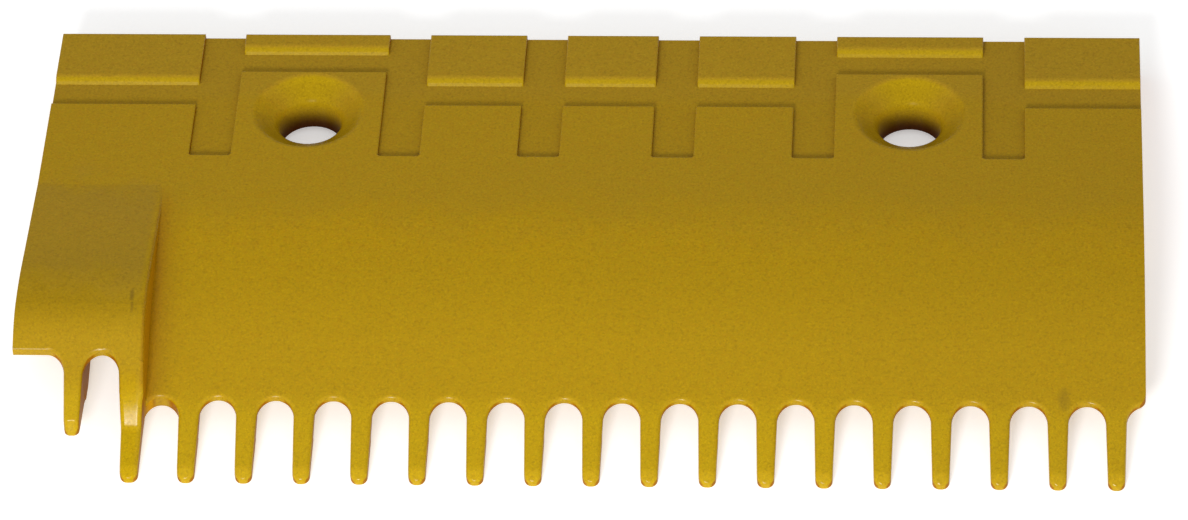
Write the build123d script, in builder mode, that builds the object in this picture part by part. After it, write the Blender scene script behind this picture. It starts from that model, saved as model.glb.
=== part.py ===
from build123d import *
import math
import os

# Escalator comb plate, left-hand end section: one moulded plastic piece.
# The teeth point to -Y, +X runs to the right along the comb, +Z is up.
# Origin: midpoint between the two screw axes, on the flat mounting face.
# All dimensions in millimetres.

# ---- overall -------------------------------------------------------------
pitch = 9.07                 # tooth pitch, matches the tread cleats
teeth = 19                   # the first two stand on the raised end block
x_left = -91.2               # left edge
x_right = 86.3               # right edge
tooth1_x = x_left + 9.65     # centre of the first tooth
plate_t = 8.0                # thickness over the flat mounting face
y_back = 18.9                # back edge

# ---- screw holes ---------------------------------------------------------
hole_spacing = 97.7
screw_r = 5.05
sink_r = 8.9                 # countersink radius at the top face
sink_deg = 110.0             # full angle of the cone
sink_rim_r = 1.4             # soft change from the land to the cone
sink_inner_r = 2.0           # soft change from the cone to the straight hole

# ---- relief at the back edge ---------------------------------------------
relief_z = 7.1               # floor of the slots and of the cross grooves
seat_z = 8.15                # top of the seven seats along the back edge
slot_w = 6.7
slot_offsets = (10.85, 33.45, 64.1)
slot_front_y = -10.9
slot_corner_r = 0.5
rim_r = 0.3                  # soft rims of the lands and slots
land_back_y = 1.55           # back rim of the walking surface
hole_land_back_y = 9.75      # the same beside the screw holes
seat_front_y = 7.1           # foot of the sloped front of a seat
hole_seat_front_y = 14.75
seat_slope = 0.8             # run of that slope
seat_edge_r = 1.6            # its soft upper edge

# ---- nose ----------------------------------------------------------------
bend_y = -22.0               # the walking surface starts to fall here
bend_r, bend_deg = 80.0, 19.5
comb_r, comb_deg = 250.0, 3.5
bevel_y = -69.45              # the tooth tops steepen here
bevel_r, bevel_deg = 2.5, 18.5
tip_y = -71.3               # tooth tips
tip_lead = 0.77              # the outline at cut_z is drawn this much further out
heel_y = -44.3               # the tooth blades leave the mounting face plane here
blade_tip_z = -7.25           # underside of the tooth tips

# ---- raised block at the left end -----------------------------------------
block_w = 20.6               # width at the top
wall_lean = 0.3              # the right-hand wall is this much further out at its foot
ramp_y = -18.4               # start of the ramp
ramp_deg = 4.6
ramp_run = 21.85
crest_r = 36.0
roll_r, slope_deg = 12.0, 35.0
tooth1_bevel_y = -64.4
tooth1_tip_y = -65.5
tooth1_tip_lead = 0.6
tooth1_under_z = -2.7
tooth2_r, tooth2_deg = 26.0, 22.0
tooth2_foot_r = 2.2          # hollow where the second tooth comes down to the others
tooth2_extra = 0.21          # it is stouter on the side of the wall

# ---- gaps between the teeth -------------------------------------------------
cut_z = 12.0                 # the outline of the comb is drawn on this level
cut_depth = 26.0
draft = 2.5                  # and the teeth get slimmer downwards by this draft
side_deg = 0.65              # and towards their tips by this angle
web_y = -59.25               # crown of the arch between two teeth, at cut_z
gap_half = 2.28              # half width of the gap, at cut_z
tip_r = 2.0
block_web_y = -55.5
block_gap_half = 2.66
block_gap_half_r = 2.3       # its right-hand half, beside the second tooth
corner_gap_r = 2.4           # quarter arch left of the first tooth
tooth1_tip_r = 1.6

# ---- underside ---------------------------------------------------------------
pocket_back_y = -24.0
pocket_half = 3.1            # the ribs are a little slimmer than the blades
first_pocket_half = 2.75     # on the side of the block wall
block_pocket_z = 5.2
side_wall = 3.0
side_wall_front_y = -47.9

# ---- edge radii --------------------------------------------------------------
tooth_edge_r = 0.7
tooth2_edge_r = 0.4           # right-hand edge of the second tooth
corner_r = 2.0                # front corner at the right edge
corner_w = 0.54               # draft of the gap outline at the level of that corner
wall_r = 0.8


def fall(start, start_deg, radius, turn_deg):
    """End point and end slope of an arc whose slope grows by turn_deg going to -Y."""
    a0, a1 = math.radians(start_deg), math.radians(start_deg + turn_deg)
    return (start[0] - radius * (math.sin(a1) - math.sin(a0)),
            start[1] - radius * (math.cos(a0) - math.cos(a1))), start_deg + turn_deg


def heading(deg):
    """Direction towards -Y, falling by deg."""
    return (-math.cos(math.radians(deg)), -math.sin(math.radians(deg)))


def down(point, deg, y):
    """Point reached at y on a straight fall of deg."""
    return (y, point[1] - (point[0] - y) * math.tan(math.radians(deg)))


# Main top line, from the back to the tooth tips.
p_bend = (bend_y, plate_t)
p_comb, d_comb = fall(p_bend, 0.0, bend_r, bend_deg)
p_teeth, d_teeth = fall(p_comb, d_comb, comb_r, comb_deg)
p_bevel = down(p_teeth, d_teeth, bevel_y)
p_bevel2, d_bevel = fall(p_bevel, d_teeth, bevel_r, bevel_deg)
p_end = down(p_bevel2, d_bevel, tip_y - 0.6)

# Block top line: ramp up, crest, roll-over, straight fall to the first tooth.
p_ramp0 = (ramp_y + 6.0, plate_t - 6.0 * math.tan(math.radians(ramp_deg)))
p_ramp1 = (ramp_y - ramp_run, plate_t + ramp_run * math.tan(math.radians(ramp_deg)))
p_crest, d_crest = fall(p_ramp1, -ramp_deg, crest_r, ramp_deg + 8.0)
p_roll, d_roll = fall(p_crest, d_crest, roll_r, slope_deg - d_crest)
p_bev1 = down(p_roll, d_roll, tooth1_bevel_y)
p_split = down(p_roll, d_roll, -56.6)
p_tooth2, d_tooth2 = fall(p_split, d_roll, tooth2_r, tooth2_deg)
turn = d_tooth2 - d_teeth
meet_y = p_tooth2[0] + (p_tooth2[1] - down(p_teeth, d_teeth, p_tooth2[0])[1]) / (
    math.tan(math.radians(d_teeth)) - math.tan(math.radians(d_tooth2)))
t_len = tooth2_foot_r * math.tan(math.radians(turn / 2))
p_foot0 = down(p_tooth2, d_tooth2, meet_y + t_len * math.cos(math.radians(d_tooth2)))
p_foot1 = down(p_teeth, d_teeth, meet_y - t_len * math.cos(math.radians(d_teeth)))
p_foot2 = down(p_teeth, d_teeth, p_foot1[0] - 0.6)

tooth_x = [tooth1_x + i * pitch for i in range(teeth)]
mid12 = (tooth_x[0] + tooth_x[1]) / 2
c_side, s_side = math.cos(math.radians(side_deg)), math.sin(math.radians(side_deg))


def gap_side(mid_x, crown_y, half, shift, sign, w):
    """Point where the arch of a gap (offset by w) meets its side, sign -1 left, +1 right.
    shift moves the arch centre away from the side for a smaller arch radius."""
    r = half - shift + w
    cx, cy = mid_x + sign * shift, crown_y - (half - shift)
    return (cx + sign * r * c_side, cy + r * s_side), (cx, cy), r


def tip_corner(root, sign, tip, r, w):
    """Tangent point and foot of the round at a tooth tip; sign is the side of the gap."""
    r = r - w
    tip = tip + w
    t = (root[1] + r * s_side - tip - r) / c_side
    xc = root[0] + sign * (t * s_side + r * c_side)
    yc = tip + r
    return (xc - sign * r * c_side, yc - r * s_side), (xc, tip), (xc, yc), r


def arc_points(centre, r, p, q):
    """Middle point of the short arc from p to q round centre."""
    mx, my = (p[0] + q[0]) / 2 - centre[0], (p[1] + q[1]) / 2 - centre[1]
    n = math.hypot(mx, my)
    return (centre[0] + r * mx / n, centre[1] + r * my / n)


def comb_outline(w):
    """Front outline of the comb, offset into the material by w, drawn in the open line builder."""
    start = (x_left - 5, block_web_y + w)
    # quarter arch left of the first tooth
    m = tooth_x[0] - pitch / 2
    side, centre, r = gap_side(m, block_web_y, block_gap_half, block_gap_half - corner_gap_r, 1, w)
    crown = (centre[0], centre[1] + r)
    Line(start, crown)
    ThreePointArc(crown, arc_points(centre, r, crown, side), side)
    a, b, centre, r = tip_corner(side, 1, tooth1_tip_y - tooth1_tip_lead, tooth1_tip_r, w)
    Line(side, a)
    ThreePointArc(a, arc_points(centre, r, a, b), b)
    last = b
    for i in range(teeth):
        block = i == 0
        m = tooth_x[i] + pitch / 2
        crown_y = block_web_y if block else web_y
        half = block_gap_half if block else gap_half
        left_tip, left_r = (tooth1_tip_y - tooth1_tip_lead, tooth1_tip_r) if block else (tip_y - tip_lead, tip_r)
        extra = tooth2_extra if i == 1 else 0.0
        half_r = block_gap_half_r if block else half
        ls, centre, r = gap_side(m, crown_y, half - extra, 0.0, -1, w)
        a, b, tc, tr = tip_corner(ls, -1, left_tip, left_r, w)
        Line(last, b)
        ThreePointArc(b, arc_points(tc, tr, a, b), a)
        Line(a, ls)
        crown = (centre[0], centre[1] + r)
        uneven = extra > 0 or half_r != half
        if uneven or i == teeth - 1:
            ThreePointArc(ls, arc_points(centre, r, ls, crown), crown)
        if i == teeth - 1:
            last = crown
            break
        rs, centre, r = gap_side(m, crown_y, half_r, 0.0, 1, w)
        if uneven:
            ThreePointArc(crown, arc_points(centre, r, crown, rs), rs)
        else:
            ThreePointArc(ls, crown, rs)
        a, b, tc, tr = tip_corner(rs, 1, tip_y - tip_lead, tip_r, w)
        Line(rs, a)
        ThreePointArc(a, arc_points(tc, tr, a, b), b)
        last = b
    Polyline(last, (x_right + 5, last[1]), (x_right + 5, -90.0), (x_left - 5, -90.0), start)


# Roof lines of the underside pockets, front to back; the first one lies beside the block and is lower.
first_roof = [(-63.5, -4.9), (-58.7, -2.6), (-48.7, 0.7), (-36.0, 3.7), (pocket_back_y, 4.9)]
web_roof = [(-63.5, -3.4), (-58.7, -1.35), (-55.6, -1.35), (-48.7, 0.9), (-36.0, 3.7), (pocket_back_y, 4.9)]
block_roof = [(-60.0, 1.6), (-55.1, 5.0), (-53.4, block_pocket_z), (pocket_back_y, block_pocket_z)]

wall_line = [(x_left + block_w, plate_t + 2.5), (x_left + block_w + wall_lean, 0.0),
             (x_left + block_w + wall_lean, -9.0), (x_left + block_w + 3, -9.0),
             (x_left + block_w + 3, plate_t + 2.5)]


def top_z(y, first):
    """Height of the top line at y: main line, or the block line with the first or second tooth."""
    def on_arc(start, start_deg, radius):
        s = math.sin(math.radians(start_deg)) + (start[0] - y) / radius
        return start[1] - radius * (math.cos(math.radians(start_deg)) - math.sqrt(max(0.0, 1 - s * s)))
    if y > p_comb[0]:
        main = on_arc(p_bend, 0.0, bend_r)
    elif y > p_teeth[0]:
        main = on_arc(p_comb, d_comb, comb_r)
    elif y > p_bevel[0]:
        main = down(p_teeth, d_teeth, y)[1]
    elif y > p_bevel2[0]:
        main = on_arc(p_bevel, d_teeth, bevel_r)
    else:
        main = down(p_bevel2, d_bevel, y)[1]
    if first == 0:
        return main
    if first == 3 and y > p_ramp1[0]:
        return plate_t + (ramp_y - y) * math.tan(math.radians(ramp_deg))
    if first == 3 and y > p_crest[0]:
        return on_arc(p_ramp1, -ramp_deg, crest_r)
    if first == 3 and y > p_roll[0]:
        return on_arc(p_crest, d_crest, roll_r)
    if first == 1:
        if y > p_bev1[0]:
            return down(p_roll, d_roll, y)[1]
        return p_bev1[1] - (p_bev1[0] - y) * (p_bev1[1] - tooth1_under_z) / (p_bev1[0] - tooth1_tip_y + 0.2)
    if y > p_split[0]:
        return down(p_roll, d_roll, y)[1]
    if y > p_tooth2[0]:
        return on_arc(p_split, d_roll, tooth2_r)
    if y > p_foot0[0]:
        return down(p_tooth2, d_tooth2, y)[1]
    if y > p_foot1[0]:
        s = math.sin(math.radians(d_tooth2)) - (p_foot0[0] - y) / tooth2_foot_r
        return p_foot0[1] - tooth2_foot_r * (math.sqrt(1 - s * s) - math.cos(math.radians(d_tooth2)))
    return main


def on_top_edge(e):
    """True for the upper edges along the gaps, not for the lines across a tooth."""
    c = e.position_at(0.5)
    if c.Y > -54.5:
        return False
    kind = 0 if c.X > x_left + block_w + 0.6 else (1 if c.X < mid12 else 2)
    if e.geom_type == GeomType.LINE and abs(e.tangent_at(0.5).X) > 0.99:
        on_web = c.X < tooth_x[0] - 4 and c.Y > -56
        on_tip = abs(c.Y - tooth1_tip_y) < 1.2 if kind == 1 else c.Y < tip_y + 0.9
        if not (on_web or on_tip):
            return False
    if kind == 2 and c.X > -70.4 and abs(c.Z - top_z(c.Y, 0)) < 0.05:
        return False      # foot of the block wall
    kinds = (kind,) if kind != 2 else (2, 0)
    return any(abs(c.Z - top_z(c.Y, k)) < 0.03 for k in kinds)


with BuildPart() as comb_plate:
    # Raised block: left half with the first tooth, right half with the second.
    with BuildSketch(Plane.YZ.offset(x_left)):
        with BuildLine():
            Line((-30.0, 4.0), (p_ramp0[0], 4.0))
            Line((p_ramp0[0], 4.0), p_ramp0)
            Line(p_ramp0, p_ramp1)
            JernArc(p_ramp1, heading(-ramp_deg), crest_r, ramp_deg + 8.0)
            JernArc(p_crest, heading(d_crest), roll_r, slope_deg - d_crest)
            Line(p_roll, p_bev1)
            Line(p_bev1, (tooth1_tip_y - 0.2, tooth1_under_z))
            Line((tooth1_tip_y - 0.2, tooth1_under_z), (-30.0, tooth1_under_z + 3.0))
            Line((-30.0, tooth1_under_z + 3.0), (-30.0, 4.0))
        make_face()
    extrude(amount=mid12 - x_left)
    with BuildSketch(Plane.YZ.offset(mid12)):
        with BuildLine():
            Line((-30.0, 4.0), (p_ramp0[0], 4.0))
            Line((p_ramp0[0], 4.0), p_ramp0)
            Line(p_ramp0, p_ramp1)
            JernArc(p_ramp1, heading(-ramp_deg), crest_r, ramp_deg + 8.0)
            JernArc(p_crest, heading(d_crest), roll_r, slope_deg - d_crest)
            Line(p_roll, p_split)
            Line(p_split, (p_split[0], -2.0))
            Line((p_split[0], -2.0), (-30.0, 1.5))
            Line((-30.0, 1.5), (-30.0, 4.0))
        make_face()
    extrude(amount=x_left + block_w + wall_lean - mid12)
    with BuildSketch(Plane.XZ.offset(-y_back)):
        with BuildLine():
            Polyline(wall_line, close=True)
        make_face()
    extrude(amount=100.0, mode=Mode.SUBTRACT)
    # Soft upper edge of the wall.
    wall_top = comb_plate.edges().filter_by(lambda e: e.position_at(0.5).X > x_left + block_w - 1
                                            and abs(e.tangent_at(0.5).X) < 0.5
                                            and p_split[0] < e.position_at(0.5).Y < p_ramp0[0]
                                            and e.position_at(0.5).Z > 5.0)
    fillet(wall_top, wall_r)

with BuildPart() as tooth2:
    # Second tooth, from the block down to the level of the others.
    with BuildSketch(Plane.YZ.offset(mid12)):
        with BuildLine():
            Line((p_split[0], -2.0), p_split)
            JernArc(p_split, heading(d_roll), tooth2_r, tooth2_deg)
            Line(p_tooth2, p_foot0)
            JernArc(p_foot0, heading(d_tooth2), tooth2_foot_r, -turn)
            Line(p_foot1, p_foot2)
            Line(p_foot2, (p_foot2[0], p_foot2[1] - 2.2))
            Line((p_foot2[0], p_foot2[1] - 2.2), (p_split[0], -2.0))
        make_face()
    extrude(amount=x_left + block_w + wall_lean - mid12)
    with BuildSketch(Plane.XZ.offset(-y_back)):
        with BuildLine():
            Polyline(wall_line, close=True)
        make_face()
    extrude(amount=100.0, mode=Mode.SUBTRACT)

with comb_plate:
    add(tooth2.part)

    # Main body: one side section swept across the width.
    with BuildSketch(Plane.YZ.offset(x_left)):
        with BuildLine():
            Line((y_back, 0.0), (y_back, plate_t))
            Line((y_back, plate_t), p_bend)
            JernArc(p_bend, heading(0.0), bend_r, bend_deg)
            JernArc(p_comb, heading(d_comb), comb_r, comb_deg)
            Line(p_teeth, p_bevel)
            JernArc(p_bevel, heading(d_teeth), bevel_r, bevel_deg)
            Line(p_bevel2, p_end)
            Line(p_end, (tip_y - 0.6, blade_tip_z))
            Line((tip_y - 0.6, blade_tip_z), (tip_y, blade_tip_z))
            Line((tip_y, blade_tip_z), (heel_y, 0.0))
            Line((heel_y, 0.0), (y_back, 0.0))
        make_face()
    extrude(amount=x_right - x_left)

    # The first tooth is shallow: nothing below it.
    with BuildSketch(Plane.XY.offset(tooth1_under_z)):
        with Locations(((x_left - 5 + mid12) / 2, -65.0)):
            Rectangle(mid12 - x_left + 5, 50.0)
    extrude(amount=-12.0, mode=Mode.SUBTRACT)

    # Pockets behind the webs, between ribs that carry on from the teeth.
    for i in range(1, teeth):
        left = pocket_half if i > 1 else first_pocket_half
        with BuildSketch(Plane.YZ.offset(tooth_x[i] + pitch / 2 - left)):
            with BuildLine():
                Polyline((web_roof if i > 1 else first_roof) + [(pocket_back_y, -12.0), (web_roof[0][0], -12.0)],
                         close=True)
            make_face()
        extrude(amount=left + pocket_half, mode=Mode.SUBTRACT)
    # The same under the raised block.
    for xa, xb in ((x_left + side_wall, tooth_x[0] - pitch / 2 + pocket_half),
                   (mid12 - pocket_half, mid12 + pocket_half)):
        with BuildSketch(Plane.YZ.offset(xa)):
            with BuildLine():
                Polyline(block_roof + [(pocket_back_y, -12.0), (block_roof[0][0], -12.0)], close=True)
            make_face()
        extrude(amount=xb - xa, mode=Mode.SUBTRACT)
    with BuildSketch(Plane.YZ.offset(x_left - 1)):
        with BuildLine():
            Polyline(block_roof[:3] + [(side_wall_front_y, block_roof[2][1]), (side_wall_front_y, -12.0),
                                       (block_roof[0][0], -12.0)], close=True)
        make_face()
    extrude(amount=side_wall + 2, mode=Mode.SUBTRACT)

    # Six slots, open at the back edge.
    with BuildSketch(Plane.XY.offset(relief_z)):
        for off in slot_offsets:
            with Locations((-off, (slot_front_y + y_back) / 2), (off, (slot_front_y + y_back) / 2)):
                Rectangle(slot_w, y_back - slot_front_y)
        fillet([v for v in vertices() if abs(v.Y - slot_front_y) < 0.01], slot_corner_r)
    extrude(amount=4.0, mode=Mode.SUBTRACT)

    # Cross groove and seats between the slots.
    cuts = sorted([s * off for off in slot_offsets for s in (-1, 1)])
    lefts = [x_left] + [c + slot_w / 2 for c in cuts]
    rights = [c - slot_w / 2 for c in cuts] + [x_right]
    for i, (xa, xb) in enumerate(zip(lefts, rights)):
        rim = hole_land_back_y if i in (1, 5) else land_back_y
        foot = hole_seat_front_y if i in (1, 5) else seat_front_y
        with BuildSketch(Plane.XY.offset(relief_z)):
            with Locations(((xa + xb) / 2, (rim + y_back) / 2)):
                Rectangle(xb - xa, y_back - rim)
        extrude(amount=4.0, mode=Mode.SUBTRACT)
        with BuildSketch(Plane.YZ.offset(xa)):
            with BuildLine():
                Polyline((y_back, relief_z - 1.0), (y_back, seat_z), (foot + seat_slope, seat_z),
                         (foot, relief_z), (foot, relief_z - 1.0), close=True)
            make_face()
            fillet([v for v in vertices() if abs(v.X - foot - seat_slope) < 0.01], seat_edge_r)
        extrude(amount=xb - xa)

    # Soft rims round the lands and the slots.
    rims = comb_plate.edges().filter_by(lambda e: abs(e.position_at(0.5).Z - plate_t) < 0.001
                                        and slot_front_y - 0.1 < e.position_at(0.5).Y < y_back - 0.1
                                        and x_left + 0.1 < e.position_at(0.5).X < x_right - 0.1)
    fillet(rims, rim_r)
    seats = comb_plate.edges().filter_by(lambda e: abs(e.position_at(0.5).Z - seat_z) < 0.001 and e.geom_type == GeomType.LINE
                                         and (e.position_at(0.5).Y > y_back - 0.1 or abs(e.tangent_at(0.5).Y) > 0.99)
                                         and e.position_at(0.5).Y > 7.0)
    fillet(seats, rim_r)

    # Countersunk screw holes.
    with Locations((-hole_spacing / 2, 0, plate_t), (hole_spacing / 2, 0, plate_t)):
        CounterSinkHole(radius=screw_r, counter_sink_radius=sink_r, depth=plate_t + 2, counter_sink_angle=sink_deg)
    rings = comb_plate.edges().filter_by(GeomType.CIRCLE)
    fillet(rings.filter_by(lambda e: abs(e.radius - screw_r) < 0.01 and e.position_at(0.5).Z > 1.0), sink_inner_r)
    rings = comb_plate.edges().filter_by(GeomType.CIRCLE)
    fillet(rings.filter_by(lambda e: abs(e.radius - sink_r) < 0.01), sink_rim_r)

    # Gaps between the teeth.
    with BuildSketch(Plane.XY.offset(cut_z)):
        with BuildLine():
            comb_outline(0.0)
        make_face()
    with BuildSketch(Plane.XY.offset(cut_z - cut_depth)):
        with BuildLine():
            comb_outline(cut_depth * math.tan(math.radians(draft)))
        make_face()
    loft(ruled=True, mode=Mode.SUBTRACT)

    # Soft top edges on the webs and on the teeth.
    fillet(comb_plate.edges().filter_by(lambda e: on_top_edge(e) and e.position_at(0.5).X > x_left + 22.2),
           tooth_edge_r)
    fillet(comb_plate.edges().filter_by(lambda e: on_top_edge(e) and e.position_at(0.5).X < x_left + 18.5),
           tooth_edge_r)
    fillet(comb_plate.edges().filter_by(lambda e: on_top_edge(e) and x_left + 18.6 <= e.position_at(0.5).X < x_left + 21.2),
           tooth2_edge_r)

    # Rounded front corner at the right edge, running smoothly into the half gap beside the last tooth.
    side, centre, r = gap_side(tooth_x[-1] + pitch / 2, web_y, gap_half, 0.0, -1, corner_w)
    cx = x_right - corner_r
    cy = centre[1] + math.sqrt((r + corner_r) ** 2 - (cx - centre[0]) ** 2)
    k = r / (r + corner_r)
    meet = (centre[0] + k * (cx - centre[0]), centre[1] + k * (cy - centre[1]))
    with BuildSketch(Plane.XY.offset(cut_z)):
        with BuildLine():
            ThreePointArc(meet, arc_points((cx, cy), corner_r, meet, (x_right, cy)), (x_right, cy))
            Polyline((x_right, cy), (x_right + 2.0, cy), (x_right + 2.0, cy - 6.0), (meet[0], cy - 6.0), meet)
        make_face()
    extrude(amount=-cut_depth, mode=Mode.SUBTRACT)

comb_plate.part.label = "comb_plate"

os.makedirs("parts", exist_ok=True)
export_step(comb_plate.part, "parts/comb_plate.step")
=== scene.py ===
import math

import bpy
from mathutils import Matrix, Vector

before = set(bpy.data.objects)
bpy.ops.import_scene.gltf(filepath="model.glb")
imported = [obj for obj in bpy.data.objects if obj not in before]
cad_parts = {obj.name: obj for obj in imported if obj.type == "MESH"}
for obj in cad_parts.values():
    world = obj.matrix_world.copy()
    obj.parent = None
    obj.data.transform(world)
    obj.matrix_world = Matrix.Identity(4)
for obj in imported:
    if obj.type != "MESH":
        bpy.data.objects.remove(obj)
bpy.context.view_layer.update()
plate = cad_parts["comb_plate"]
scene = bpy.context.scene
MM = 0.001

# ---------------------------------------------------------------- helpers


def srgb(r, g, b):
    """Linear colour of an 8-bit display colour."""
    out = []
    for v in (r, g, b):
        v /= 255.0
        out.append(v / 12.92 if v <= 0.04045 else ((v + 0.055) / 1.055) ** 2.4)
    return (out[0], out[1], out[2], 1.0)


class Tree:
    """Small builder for a material's nodes."""

    def __init__(self, mat):
        mat.use_nodes = True
        self.nt = mat.node_tree
        self.nt.nodes.clear()

    def node(self, kind, ins=None, **props):
        n = self.nt.nodes.new(kind)
        for k, v in props.items():
            setattr(n, k, v)
        for k, v in (ins or {}).items():
            if isinstance(v, bpy.types.NodeSocket):
                self.nt.links.new(v, n.inputs[k])
            else:
                n.inputs[k].default_value = v
        return n

    def math(self, op, a, b=0.0, clamp=False):
        n = self.node("ShaderNodeMath", {0: a, 1: b}, operation=op)
        n.use_clamp = clamp
        return n.outputs[0]

    def mul(self, *v):
        out = v[0]
        for w in v[1:]:
            out = self.math("MULTIPLY", out, w)
        return out

    def smooth(self, value, low, high, to_low=0.0, to_high=1.0):
        n = self.node("ShaderNodeMapRange", {0: value, 1: low, 2: high, 3: to_low, 4: to_high},
                      interpolation_type="SMOOTHSTEP")
        n.clamp = True
        return n.outputs[0]

    def noise(self, vec, scale, detail=3.0, rough=0.55, lac=2.0):
        return self.node("ShaderNodeTexNoise", {"Vector": vec, "Scale": scale, "Detail": detail,
                                                "Roughness": rough, "Lacunarity": lac}).outputs["Fac"]

    def mix(self, fac, a, b, blend="MIX"):
        n = self.node("ShaderNodeMix", data_type="RGBA", blend_type=blend)
        for sock, v in ((n.inputs[0], fac), (n.inputs[6], a), (n.inputs[7], b)):
            if isinstance(v, bpy.types.NodeSocket):
                self.nt.links.new(v, sock)
            else:
                sock.default_value = v
        return n.outputs[2]

    def distance(self, vec, point, stretch=(1.0, 1.0, 1.0)):
        """Distance of vec from point, each axis divided by its stretch."""
        d = self.node("ShaderNodeVectorMath", {0: vec, 1: point}, operation="SUBTRACT").outputs[0]
        s = self.node("ShaderNodeVectorMath", {0: d, 1: tuple(1.0 / v for v in stretch)},
                      operation="MULTIPLY").outputs[0]
        return self.node("ShaderNodeVectorMath", {0: s}, operation="LENGTH").outputs["Value"]


# ---------------------------------------------------------------- yellow moulded plastic
mat = plate.data.materials[0]
t = Tree(mat)
pos = t.node("ShaderNodeTexCoord").outputs["Object"]
xyz = t.node("ShaderNodeSeparateXYZ", {0: pos})
px, py, pz = xyz.outputs[0], xyz.outputs[1], xyz.outputs[2]
facing = t.node("ShaderNodeSeparateXYZ", {0: t.node("ShaderNodeNewGeometry").outputs["Normal"]})

yellow = srgb(186, 147, 2)
dull = srgb(176, 140, 14)
deep = srgb(172, 128, 2)
brown = srgb(66, 24, 1)
grime = srgb(88, 66, 26)

# slow colour drift of the moulding, cloudy wear and a fine mottled skin
drift = t.smooth(t.noise(pos, 26.0, 2.0), 0.35, 0.65)
col = t.mix(t.mul(drift, 0.30), yellow, dull)
mott = t.smooth(t.noise(pos, 480.0, 4.0, 0.65), 0.40, 0.74)
col = t.mix(t.mul(mott, 0.22), col, deep)
warm = t.smooth(t.noise(pos, 1300.0, 3.0, 0.6), 0.42, 0.66)
col = t.mix(t.mul(warm, 0.30), col, srgb(182, 128, 2))
cool = t.smooth(t.noise(t.node("ShaderNodeVectorMath", {0: pos, 1: (0.3, 0.1, 0.2)}, operation="ADD").outputs[0],
                        1700.0, 3.0, 0.6), 0.44, 0.68)
col = t.mix(t.mul(cool, 0.30), col, srgb(172, 146, 4))

# the comb itself keeps a slightly fresher yellow
nose = t.smooth(py, -0.0570, -0.0620)
col = t.mix(t.mul(nose, 0.45), col, srgb(186, 156, 2))

# the slope before the teeth is a shade darker; the right-hand end is darkened as painted shade, the light falling
# off away from the lamp on the left
slope = t.mul(t.smooth(py, -0.0270, -0.0400), t.smooth(py, -0.0630, -0.0570))
col = t.mix(t.mul(slope, 0.38), col, srgb(164, 132, 3))
col = t.mix(t.mul(t.smooth(px, 0.010, 0.085), 0.18), col, srgb(150, 116, 5))

# the walking surface is greyer than the nose: a painted reflection of the surroundings on the flat part and on the
# back strip; the raised ramp is greyer as well
cloud = t.smooth(t.noise(pos, 150.0, 4.0, 0.6), 0.30, 0.70, -0.004, 0.004)
wy = t.math("ADD", py, cloud)
flat = t.smooth(wy, -0.036, -0.016)
col = t.mix(t.mul(flat, 0.26), col, srgb(160, 128, 34))
# painted reflection: a greyer, bluer tint along the back strip
back = t.smooth(py, 0.0020, 0.0060)
col = t.mix(t.mul(back, 0.14), col, srgb(166, 136, 72))

# the front edges of the seats and the back of the cones, which face the lamp, stay a saturated yellow without the
# painted reflection of the tops
lamp_facing_yellow = t.mul(back, t.smooth(facing.outputs[1], -0.22, -0.62))
col = t.mix(t.mul(lamp_facing_yellow, 0.75), col, srgb(176, 146, 2))
ramp = t.mul(t.smooth(px, -0.0710, -0.0722), t.smooth(wy, -0.052, -0.038), t.smooth(wy, -0.014, -0.022))
col = t.mix(t.mul(ramp, 0.30), col, srgb(158, 126, 46))

# painted shade: the rolled front of the block, which faces the lamp, is darkened a little
front = t.mul(t.smooth(px, -0.0702, -0.0712), t.smooth(wy, -0.043, -0.050), t.smooth(py, -0.062, -0.058))
col = t.mix(t.mul(front, 0.40), col, srgb(160, 126, 6))

# painted shade: dark brown deep in the two screw holes, where the near rim shades the far wall
cone = []
for sx in (-0.04885, 0.04885):
    r = t.distance(pos, (sx, 0.0, 0.0), (1.0, 1.0, 1e6))
    inside = t.smooth(r, 0.0094, 0.0086)
    cone.append(inside)
    depth = t.smooth(pz, 0.0056, 0.0003)
    col = t.mix(t.mul(inside, depth), col, brown)

# painted shade in the crease beside the raised block and on the low floors behind the lands
behind = t.smooth(py, -0.0608, -0.0588)
crease = t.mul(t.smooth(px, -0.0682, -0.0702), t.smooth(px, -0.0712, -0.0706), t.smooth(py, -0.017, -0.026), behind)
col = t.mix(t.mul(crease, 0.40), col, srgb(160, 104, 0))
beside = t.mul(t.smooth(px, -0.0650, -0.0698), t.smooth(px, -0.0712, -0.0706), t.smooth(py, -0.017, -0.032), behind)
col = t.mix(t.mul(beside, 0.40), col, srgb(156, 112, 3))
low = t.mul(t.smooth(pz, 0.00735, 0.00712), t.smooth(py, -0.0135, -0.0105))
col = t.mix(t.mul(low, 0.08), col, srgb(120, 86, 18))

# upright side faces, where light only arrives by way of other yellow faces, are painted a darker orange as painted
# shade
upright = t.mul(t.smooth(t.math("ABSOLUTE", facing.outputs[2]), 0.34, 0.12),
                t.smooth(t.math("ABSOLUTE", facing.outputs[0]), 0.25, 0.60))
wall = t.mul(upright, t.smooth(px, -0.0735, -0.0728), t.smooth(px, -0.0690, -0.0695), t.smooth(py, -0.0610, -0.0590),
             t.smooth(py, -0.0120, -0.0140))
side_shade = t.math("SUBTRACT", upright, wall, clamp=True)
for inside in cone:
    side_shade = t.mul(side_shade, t.smooth(inside, 1.0, 0.0))
col = t.mix(t.mul(side_shade, 0.80), col, srgb(152, 86, 0))
# painted light: the block's right-hand wall, left in shadow by the lamp, is painted a lighter orange
col = t.mix(t.mul(wall, 0.70), col, srgb(200, 142, 4))

# fine mottled skin over everything
speck = t.smooth(t.noise(pos, 3400.0, 2.0, 0.6), 0.50, 0.68)
col = t.mix(t.mul(speck, 0.54), col, (1.28, 1.30, 1.6, 1.0), "MULTIPLY")
pit = t.smooth(t.noise(pos, 2500.0, 3.0, 0.6), 0.46, 0.72)
col = t.mix(t.mul(pit, 0.42), col, (0.52, 0.50, 0.8, 1.0), "MULTIPLY")

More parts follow.
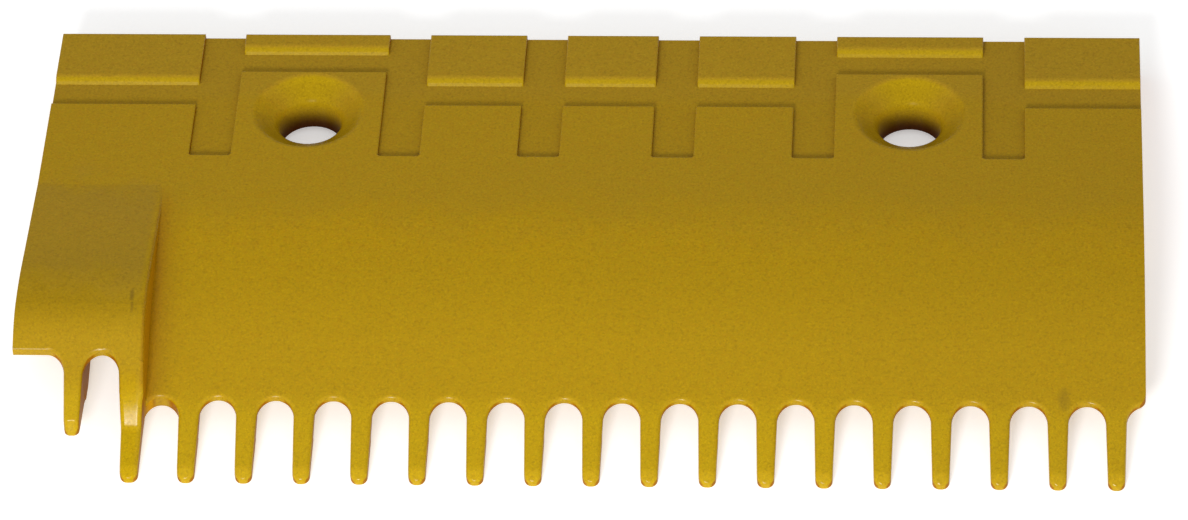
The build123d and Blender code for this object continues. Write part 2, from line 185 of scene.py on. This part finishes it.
# two dark scuffs on the edge of the block, a faint smudge near the right-hand teeth
for p, s, a in (((-0.0729, -0.0462, 0.0094), (0.0005, 0.0020, 0.004), 0.44),
                ((-0.0727, -0.0488, 0.0086), (0.0004, 0.0013, 0.004), 0.34),
                ((0.0736, -0.0583, -0.0005), (0.0013, 0.0026, 0.006), 0.26)):
    d = t.distance(pos, p, s)
    d = t.math("ADD", d, t.math("MULTIPLY", t.math("SUBTRACT", t.noise(pos, 1400.0, 3.0), 0.5), 1.0))
    col = t.mix(t.mul(t.smooth(d, 1.0, 0.3), a), col, grime)

bsdf = t.node("ShaderNodeBsdfPrincipled", {"Base Color": col, "IOR": 1.5})
gloss = t.mul(t.smooth(upright, 0.0, 1.0, 0.19, 0.06), t.smooth(cone[0], 0.0, 1.0, 1.0, 0.35),
              t.smooth(cone[1], 0.0, 1.0, 1.0, 0.35))
# the seats along the back edge and the second tooth's front are duller
gloss = t.mul(gloss, t.smooth(py, 0.0020, 0.0060, 1.0, 0.42))
worn = t.mul(t.smooth(px, -0.0713, -0.0717), t.smooth(px, -0.0784, -0.0780), t.smooth(py, -0.0560, -0.0600))
t.nt.links.new(t.mul(gloss, t.smooth(worn, 0.0, 1.0, 1.0, 0.55)), bsdf.inputs["Specular IOR Level"])
rough_n = t.noise(pos, 260.0, 4.0, 0.6)
rough = t.math("ADD", t.smooth(rough_n, 0.3, 0.7, 0.22, 0.31), t.mul(upright, 0.3))
rough = t.math("SUBTRACT", rough, t.mul(t.smooth(py, -0.0560, -0.0600), 0.07))
t.nt.links.new(rough, bsdf.inputs["Roughness"])
grain = t.noise(pos, 1100.0, 3.0, 0.55)
wave = t.noise(pos, 60.0, 2.0, 0.5)
b1 = t.node("ShaderNodeBump", {"Strength": 0.20, "Distance": 0.0001, "Height": grain})
b2 = t.node("ShaderNodeBump", {"Strength": 0.25, "Distance": 0.0003, "Height": wave, "Normal": b1.outputs[0]})
t.nt.links.new(b2.outputs[0], bsdf.inputs["Normal"])
out = t.node("ShaderNodeOutputMaterial")
t.nt.links.new(bsdf.outputs[0], out.inputs[0])

# ---------------------------------------------------------------- floor
tilt = math.atan2(7.24, 90.12)
mesh = bpy.data.meshes.new("floor")
s = 3.0
mesh.from_pydata([(-s, -s, 0), (s, -s, 0), (s, s, 0), (-s, s, 0)], [], [(0, 1, 2, 3)])
floor = bpy.data.objects.new("floor", mesh)
scene.collection.objects.link(floor)
floor.matrix_world = Matrix.Translation((0, 18.9 * MM, -0.02 * MM)) @ Matrix.Rotation(tilt, 4, "X")
fm = bpy.data.materials.new("floor")
ft = Tree(fm)
fb = ft.node("ShaderNodeBsdfPrincipled", {"Base Color": (0.95, 0.95, 0.95, 1), "Roughness": 0.9,
                                          "Emission Color": (1, 1, 1, 1), "Emission Strength": 0.42})
fo = ft.node("ShaderNodeOutputMaterial")
ft.nt.links.new(fb.outputs[0], fo.inputs[0])
mesh.materials.append(fm)

# ---------------------------------------------------------------- light


def area(name, direction, distance, size, power, target=(0, -0.02, 0), colour=(1, 1, 1)):
    light = bpy.data.lights.new(name, "AREA")
    light.shape = "RECTANGLE"
    light.size, light.size_y = size
    light.energy = power
    light.color = colour
    o = bpy.data.objects.new(name, light)
    scene.collection.objects.link(o)
    d = Vector(direction).normalized()
    o.location = Vector(target) + d * distance
    o.rotation_mode = "QUATERNION"
    o.rotation_quaternion = d.to_track_quat("Z", "Y")
    return o


def toward(azimuth, elevation):
    a, e = math.radians(azimuth), math.radians(elevation)
    return (math.sin(a) * math.cos(e), -math.cos(a) * math.cos(e), math.sin(e))


# low light from the front, a little to the left, and an even surround that is darker behind
area("key", toward(-9, 24), 0.84, (0.20, 0.15), 3.95)
world = bpy.data.worlds.new("world")
scene.world = world
world.use_nodes = True
wt = world.node_tree
wt.nodes.clear()
wc = wt.nodes.new("ShaderNodeTexCoord")
ws = wt.nodes.new("ShaderNodeSeparateXYZ")
wm = wt.nodes.new("ShaderNodeMapRange")
wm.inputs[1].default_value, wm.inputs[2].default_value = -0.5, 0.7
wm.inputs[3].default_value, wm.inputs[4].default_value = 0.78, 0.25
wb = wt.nodes.new("ShaderNodeBackground")
wb.inputs[0].default_value = (1, 1, 1, 1)
wo = wt.nodes.new("ShaderNodeOutputWorld")
wt.links.new(wc.outputs["Generated"], ws.inputs[0])
wt.links.new(ws.outputs[1], wm.inputs[0])
wt.links.new(wm.outputs[0], wb.inputs[1])
wt.links.new(wb.outputs[0], wo.inputs[0])

# ---------------------------------------------------------------- camera
cam = bpy.data.cameras.new("camera")
cam.sensor_fit = "HORIZONTAL"
cam.sensor_width = 36.0
cam.lens = 191.35
cam.clip_start, cam.clip_end = 0.05, 20.0
co = bpy.data.objects.new("camera", cam)
scene.collection.objects.link(co)
right = Vector((0.99820, 0.04813, -0.03576))
up = Vector((-0.00625, 0.67650, 0.73641))
back = Vector((0.05964, -0.73486, 0.67559))
m = Matrix((right, up, back)).transposed().to_4x4()
m.translation = Vector((0.05901, -0.76994, 0.68308))
co.matrix_world = m
scene.camera = co

scene.view_settings.view_transform = "Standard"
scene.view_settings.look = "None"
scene.view_settings.exposure = 0.0
